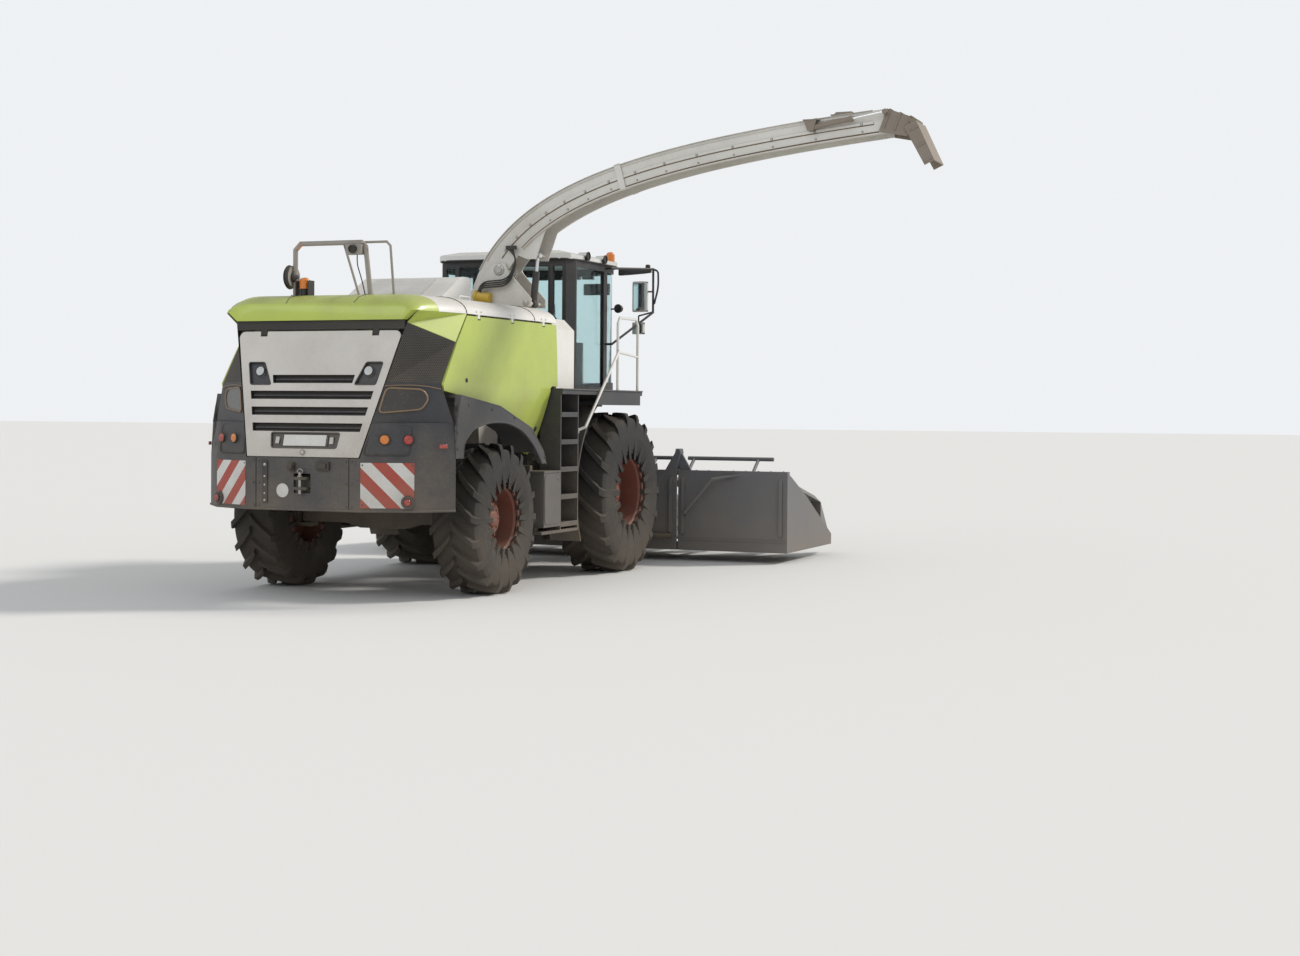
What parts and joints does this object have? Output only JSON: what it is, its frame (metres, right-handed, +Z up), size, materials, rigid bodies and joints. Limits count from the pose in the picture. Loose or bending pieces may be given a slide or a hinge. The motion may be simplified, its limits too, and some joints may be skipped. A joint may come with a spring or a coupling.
{
  "type": "self-propelled forage harvester",
  "caption": "Forage harvester with a maize header of upright rotors, folding wings, steered rear wheels, a cab, hinged hood panels and a long curved discharge spout on a turntable.",
  "frame": {"origin": "centre of the footprint's bounding box on the ground", "axes": "+X forward to the header, +Y to the machine's left, +Z up; the spout points to the right, along -Y"},
  "size_m": [8.535, 8.032, 4.852],
  "materials": {
    "dark_paint": "satin",
    "cast_block": "rough",
    "hood_white": "gloss",
    "hood_green": "gloss",
    "pale_metal": "satin",
    "screen_black": "matt",
    "cab_black": "satin",
    "cab_glass": "clear",
    "cushion_cloth": "woven",
    "tyre_rubber": "matt",
    "rim_red": "satin",
    "flap_grey": "worn",
    "cylinder_black": "satin",
    "rod_chrome": "polished",
    "header_grey": "worn",
    "rotor_steel": "worn"
  },
  "bodies": {
    "chassis": {"frame": "dark_paint", "front_axle": "dark_paint", "rear_axle": "dark_paint", "engine_block": "cast_block", "belly": "dark_paint", "duct": "pale_metal", "bumper": "dark_paint", "tail_lamps": "dark_paint", "rear_fenders": "dark_paint", "corner_screens": "screen_black", "hood_deck": "hood_white", "tail_cowl": "hood_green", "roof_guard": "dark_paint", "platform": "dark_paint", "guard_rails": "hood_white", "front_fenders": "dark_paint", "cab_shell": "cab_black", "cab_roof": "hood_white", "cab_glass": "cab_glass", "cab_controls": "cab_black", "seat_frame": "cab_black", "seat_cushion": "cushion_cloth", "mirrors": "cab_black"},
    "grille_door": {"grille_door": "pale_metal"},
    "side_panel_right": {"side_panel_right": "hood_green"},
    "side_panel_left": {"side_panel_left": "hood_green"},
    "cab_door": {"cab_door": "cab_black"},
    "knuckle_right": {"knuckle_right": "dark_paint"},
    "knuckle_left": {"knuckle_left": "dark_paint"},
    "wheel_front_right": {"tyre_front_right": "tyre_rubber", "rim_front_right": "rim_red"},
    "wheel_front_left": {"tyre_front_left": "tyre_rubber", "rim_front_left": "rim_red"},
    "wheel_rear_right": {"tyre_rear_right": "tyre_rubber", "rim_rear_right": "rim_red"},
    "wheel_rear_left": {"tyre_rear_left": "tyre_rubber", "rim_rear_left": "rim_red"},
    "spout_turn": {"spout_turn": "pale_metal"},
    "spout_arm": {"spout_arm": "pale_metal"},
    "spout_flap": {"spout_flap": "flap_grey"},
    "spout_tip": {"spout_tip": "flap_grey"},
    "spout_barrel": {"spout_barrel": "cylinder_black"},
    "spout_rod": {"spout_rod": "rod_chrome"},
    "header_lift": {"feeder": "dark_paint", "header_middle": "header_grey"},
    "header_wing_right": {"header_wing_right": "header_grey"},
    "header_wing_left": {"header_wing_left": "header_grey"},
    "rotor_1": {"rotor_1": "rotor_steel"},
    "rotor_2": {"rotor_2": "rotor_steel"},
    "rotor_3": {"rotor_3": "rotor_steel"},
    "rotor_4": {"rotor_4": "rotor_steel"},
    "lift_barrels": {"lift_barrels": "cylinder_black"},
    "lift_rods": {"lift_rods": "rod_chrome"}
  },
  "joints": [
    {"name": "wheel_front_right_spin", "type": "hinge", "parent": "chassis", "child": "wheel_front_right", "pos_m": [0.3675, 0.046, 0.9], "axis": [0, 1, 0], "continuous": true},
    {"name": "steer_right", "type": "hinge", "parent": "chassis", "child": "knuckle_right", "pos_m": [-2.6325, 0.346, 0.745], "axis": [0, 0, 1], "range_deg": [-35, 35]},
    {"name": "wheel_rear_right_spin", "type": "hinge", "parent": "knuckle_right", "child": "wheel_rear_right", "pos_m": [-2.6325, 0.106, 0.745], "axis": [0, 1, 0], "continuous": true},
    {"name": "wheel_front_left_spin", "type": "hinge", "parent": "chassis", "child": "wheel_front_left", "pos_m": [0.3675, 2.406, 0.9], "axis": [0, 1, 0], "continuous": true},
    {"name": "steer_left", "type": "hinge", "parent": "chassis", "child": "knuckle_left", "pos_m": [-2.6325, 2.106, 0.745], "axis": [0, 0, 1], "range_deg": [-35, 35]},
    {"name": "wheel_rear_left_spin", "type": "hinge", "parent": "knuckle_left", "child": "wheel_rear_left", "pos_m": [-2.6325, 2.346, 0.745], "axis": [0, 1, 0], "continuous": true},
    {"name": "grille_open", "type": "hinge", "parent": "chassis", "child": "grille_door", "pos_m": [-3.88191, 1.226, 2.53122], "axis": [0, 1, 0], "range_deg": [0, 75]},
    {"name": "panel_right_open", "type": "hinge", "parent": "chassis", "child": "side_panel_right", "pos_m": [-2.2325, 0.041, 2.712], "axis": [-1, 0, 0], "range_deg": [0, 70]},
    {"name": "panel_left_open", "type": "hinge", "parent": "chassis", "child": "side_panel_left", "pos_m": [-2.2325, 2.411, 2.712], "axis": [1, 0, 0], "range_deg": [0, 70]},
    {"name": "door_open", "type": "hinge", "parent": "chassis", "child": "cab_door", "pos_m": [1.0075, 2.092, 2.6], "axis": [0, 0, -1], "range_deg": [0, 80]},
    {"name": "spout_turn", "type": "hinge", "parent": "chassis", "child": "spout_turn", "pos_m": [-0.8325, 1.226, 2.9], "axis": [0, 0, 1], "range_deg": [-190, 10]},
    {"name": "spout_lift", "type": "hinge", "parent": "spout_turn", "child": "spout_arm", "pos_m": [-0.8325, 0.746, 3.33], "axis": [-1, 0, 0], "range_deg": [-8, 18]},
    {"name": "flap_tilt", "type": "hinge", "parent": "spout_arm", "child": "spout_flap", "pos_m": [-0.8325, -3.516, 4.816], "axis": [-1, 0, 0], "range_deg": [-25, 20]},
    {"name": "tip_tilt", "type": "hinge", "parent": "spout_flap", "child": "spout_tip", "pos_m": [-0.8325, -3.788, 4.712], "axis": [-1, 0, 0], "range_deg": [-25, 20]},
    {"name": "spout_barrel_swing", "type": "hinge", "parent": "spout_turn", "child": "spout_barrel", "pos_m": [-0.8325, 0.426, 2.97], "axis": [-1, 0, 0], "range_deg": [-8, 12]},
    {"name": "spout_rod_slide", "type": "slide", "parent": "spout_barrel", "child": "spout_rod", "axis": [0, -0.0939, 0.9956], "range_m": [-0.055, 0.115]},
    {"name": "header_lift", "type": "hinge", "parent": "chassis", "child": "header_lift", "pos_m": [1.1175, 1.226, 1.25], "axis": [0, -1, 0], "range_deg": [-2, 9]},
    {"name": "wing_right_fold", "type": "hinge", "parent": "header_lift", "child": "header_wing_right", "pos_m": [2.1275, -0.164, 1.33], "axis": [-1, 0, 0], "range_deg": [0, 170]},
    {"name": "rotor_1_spin", "type": "hinge", "parent": "header_wing_right", "child": "rotor_1", "pos_m": [2.8175, -0.859, 0.3], "axis": [0, 0, 1], "continuous": true},
    {"name": "wing_left_fold", "type": "hinge", "parent": "header_lift", "child": "header_wing_left", "pos_m": [2.1275, 2.616, 1.33], "axis": [1, 0, 0], "range_deg": [0, 170]},
    {"name": "rotor_4_spin", "type": "hinge", "parent": "header_wing_left", "child": "rotor_4", "pos_m": [2.8175, 3.311, 0.3], "axis": [0, 0, 1], "continuous": true},
    {"name": "rotor_2_spin", "type": "hinge", "parent": "header_lift", "child": "rotor_2", "pos_m": [2.8175, 0.531, 0.3], "axis": [0, 0, 1], "continuous": true},
    {"name": "rotor_3_spin", "type": "hinge", "parent": "header_lift", "child": "rotor_3", "pos_m": [2.8175, 1.921, 0.3], "axis": [0, 0, 1], "continuous": true},
    {"name": "lift_barrels_swing", "type": "hinge", "parent": "chassis", "child": "lift_barrels", "pos_m": [0.4275, 1.226, 0.37], "axis": [0, -1, 0], "range_deg": [-3, 6]},
    {"name": "lift_rods_slide", "type": "slide", "parent": "lift_barrels", "child": "lift_rods", "axis": [0.9859, 0, 0.1673], "range_m": [-0.04, 0.14]}
  ],
  "couplings": [
    {"joint": "tip_tilt", "follows": "flap_tilt", "ratio": 1},
    {"joint": "spout_barrel_swing", "follows": "spout_lift", "ratio": 0.394},
    {"joint": "spout_rod_slide", "follows": "spout_lift", "m_per_rad": 0.34},
    {"joint": "lift_barrels_swing", "follows": "header_lift", "ratio": 0.288},
    {"joint": "lift_rods_slide", "follows": "header_lift", "m_per_rad": 0.7375}
  ]
}
